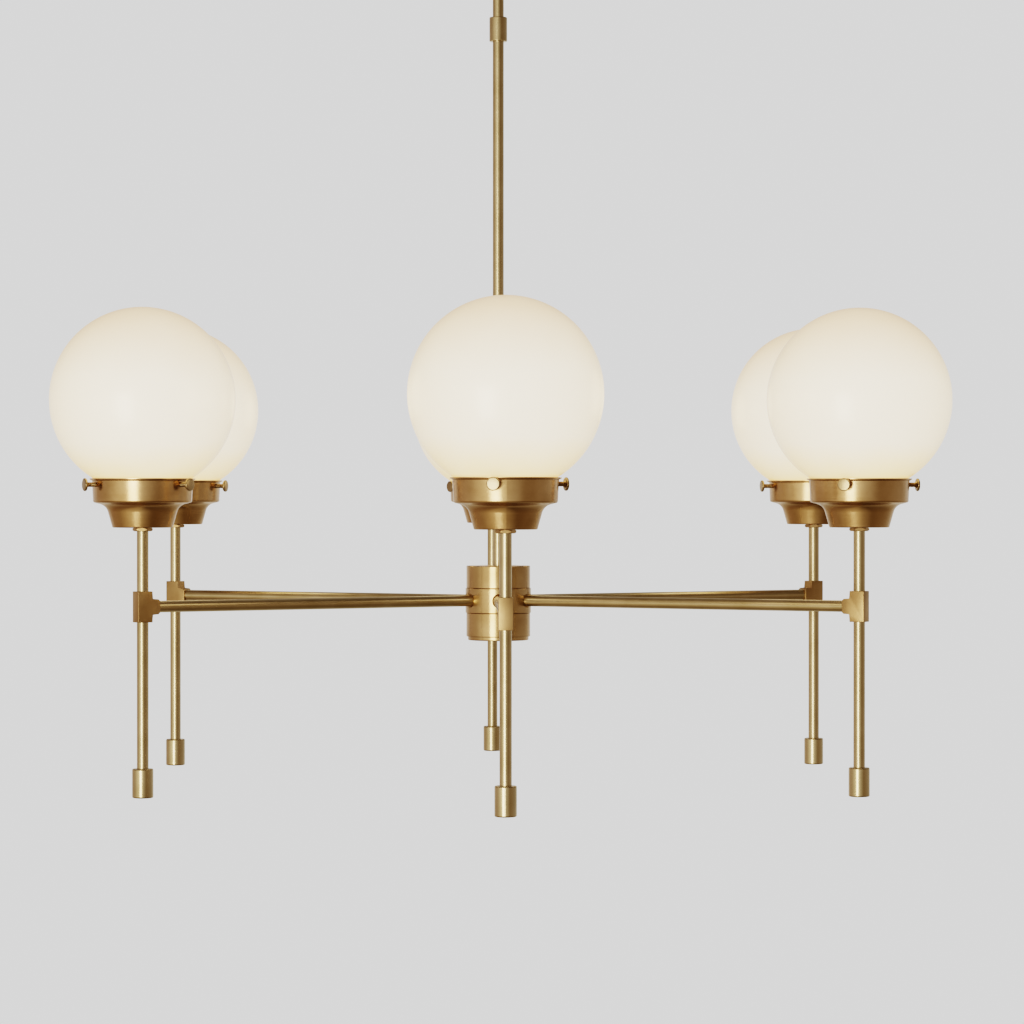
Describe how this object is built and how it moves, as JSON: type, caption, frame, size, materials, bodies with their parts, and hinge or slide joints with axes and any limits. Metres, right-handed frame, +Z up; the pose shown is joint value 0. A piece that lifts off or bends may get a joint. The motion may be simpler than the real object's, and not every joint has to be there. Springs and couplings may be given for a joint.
{
  "type": "branch chandelier",
  "caption": "Stem-hung chandelier: straight tube arms spread level from a turned hub to tees, each with an upright rod, a brass gallery and an opal glass globe, lit from inside.",
  "frame": {"origin": "centre of the crossbar's two box screw slots, in the ceiling plane, on the stem's axis", "axes": "+Z up, out of the ceiling mount along the stem; the first arm points along -Y, and the crossbar lies along X"},
  "size_m": [0.742, 0.8332, 0.9061],
  "materials": {
    "aged_brass": "aged brass, satin, turned and brushed",
    "opal_glass": "opal white blown glass, satin, lit from inside",
    "lamp_glass": "frosted lamp envelope, lit",
    "porcelain": "white unglazed porcelain",
    "zinc_steel": "zinc-plated steel",
    "green_screw": "green anodised grounding screw"
  },
  "bodies": {
    "ceiling_mount": {"crossbar": "zinc_steel", "ground_screw": "green_screw", "nipple": "zinc_steel", "nipple_nut": "zinc_steel", "canopy": "aged_brass", "swivel_collar": "aged_brass"},
    "swivel_fork": {"swivel_yoke": "aged_brass", "swivel_pin": "aged_brass"},
    "fixture": {"swivel_tongue": "aged_brass", "upper_stem": "aged_brass", "stem_coupling": "aged_brass", "lower_stem": "aged_brass", "stem_lock_nut": "zinc_steel", "hub_top_cap": "aged_brass", "hub_band": "aged_brass", "hub_bottom_cap": "aged_brass", "hub_tie_screws": "zinc_steel", "hub_bottom_plate": "aged_brass", "hub_plate_screw": "aged_brass", "arms": "aged_brass", "tees": "aged_brass", "upper_rods": "aged_brass", "lower_rods": "aged_brass", "end_caps": "aged_brass", "gallery_nuts": "aged_brass", "lamp_holders": "porcelain", "lamps": "lamp_glass", "gallery_1": "aged_brass", "globe_1": "opal_glass", "gallery_2": "aged_brass", "globe_2": "opal_glass", "gallery_3": "aged_brass", "globe_3": "opal_glass", "gallery_4": "aged_brass", "globe_4": "opal_glass", "gallery_5": "aged_brass", "globe_5": "opal_glass", "gallery_6": "aged_brass", "globe_6": "opal_glass"},
    "screw_1a": {"thumbscrew_1a": "aged_brass"},
    "screw_1b": {"thumbscrew_1b": "aged_brass"},
    "screw_1c": {"thumbscrew_1c": "aged_brass"},
    "screw_2a": {"thumbscrew_2a": "aged_brass"},
    "screw_2b": {"thumbscrew_2b": "aged_brass"},
    "screw_2c": {"thumbscrew_2c": "aged_brass"},
    "screw_3a": {"thumbscrew_3a": "aged_brass"},
    "screw_3b": {"thumbscrew_3b": "aged_brass"},
    "screw_3c": {"thumbscrew_3c": "aged_brass"},
    "screw_4a": {"thumbscrew_4a": "aged_brass"},
    "screw_4b": {"thumbscrew_4b": "aged_brass"},
    "screw_4c": {"thumbscrew_4c": "aged_brass"},
    "screw_5a": {"thumbscrew_5a": "aged_brass"},
    "screw_5b": {"thumbscrew_5b": "aged_brass"},
    "screw_5c": {"thumbscrew_5c": "aged_brass"},
    "screw_6a": {"thumbscrew_6a": "aged_brass"},
    "screw_6b": {"thumbscrew_6b": "aged_brass"},
    "screw_6c": {"thumbscrew_6c": "aged_brass"}
  },
  "joints": [
    {"name": "swivel_turn", "type": "hinge", "parent": "ceiling_mount", "child": "swivel_fork", "pos_m": [0, 0, -0.0463], "axis": [0, 0, 1], "range_deg": [-170, 170]},
    {"name": "swivel_tilt", "type": "hinge", "parent": "swivel_fork", "child": "fixture", "pos_m": [0, 0, -0.0573], "axis": [1, 0, 0], "range_deg": [-45, 45]},
    {"name": "screw_1a_back_out", "type": "slide", "parent": "fixture", "child": "screw_1a", "axis": [-0.2079, -0.9781, 0], "range_m": [0, 0.0035]},
    {"name": "screw_1b_back_out", "type": "slide", "parent": "fixture", "child": "screw_1b", "axis": [0.9511, 0.309, 0], "range_m": [0, 0.0035]},
    {"name": "screw_1c_back_out", "type": "slide", "parent": "fixture", "child": "screw_1c", "axis": [-0.7431, 0.6691, 0], "range_m": [0, 0.0035]},
    {"name": "screw_2a_back_out", "type": "slide", "parent": "fixture", "child": "screw_2a", "axis": [-0.3665, -0.9304, 0], "range_m": [0, 0.0035]},
    {"name": "screw_2b_back_out", "type": "slide", "parent": "fixture", "child": "screw_2b", "axis": [0.989, 0.1478, 0], "range_m": [0, 0.0035]},
    {"name": "screw_2c_back_out", "type": "slide", "parent": "fixture", "child": "screw_2c", "axis": [-0.6225, 0.7826, 0], "range_m": [0, 0.0035]},
    {"name": "screw_3a_back_out", "type": "slide", "parent": "fixture", "child": "screw_3a", "axis": [-0.9816, -0.1908, 0], "range_m": [0, 0.0035]},
    {"name": "screw_3b_back_out", "type": "slide", "parent": "fixture", "child": "screw_3b", "axis": [0.6561, -0.7547, 0], "range_m": [0, 0.0035]},
    {"name": "screw_3c_back_out", "type": "slide", "parent": "fixture", "child": "screw_3c", "axis": [0.3256, 0.9455, 0], "range_m": [0, 0.0035]},
    {"name": "screw_4a_back_out", "type": "slide", "parent": "fixture", "child": "screw_4a", "axis": [-0.829, -0.5592, 0], "range_m": [0, 0.0035]},
    {"name": "screw_4b_back_out", "type": "slide", "parent": "fixture", "child": "screw_4b", "axis": [0.8988, -0.4384, 0], "range_m": [0, 0.0035]},
    {"name": "screw_4c_back_out", "type": "slide", "parent": "fixture", "child": "screw_4c", "axis": [-0.0698, 0.9976, 0], "range_m": [0, 0.0035]},
    {"name": "screw_5a_back_out", "type": "slide", "parent": "fixture", "child": "screw_5a", "axis": [0.9455, -0.3256, 0], "range_m": [0, 0.0035]},
    {"name": "screw_5b_back_out", "type": "slide", "parent": "fixture", "child": "screw_5b", "axis": [-0.1908, 0.9816, 0], "range_m": [0, 0.0035]},
    {"name": "screw_5c_back_out", "type": "slide", "parent": "fixture", "child": "screw_5c", "axis": [-0.7547, -0.6561, 0], "range_m": [0, 0.0035]},
    {"name": "screw_6a_back_out", "type": "slide", "parent": "fixture", "child": "screw_6a", "axis": [0.8192, -0.5736, 0], "range_m": [0, 0.0035]},
    {"name": "screw_6b_back_out", "type": "slide", "parent": "fixture", "child": "screw_6b", "axis": [0.0872, 0.9962, 0], "range_m": [0, 0.0035]},
    {"name": "screw_6c_back_out", "type": "slide", "parent": "fixture", "child": "screw_6c", "axis": [-0.9063, -0.4226, 0], "range_m": [0, 0.0035]}
  ]
}
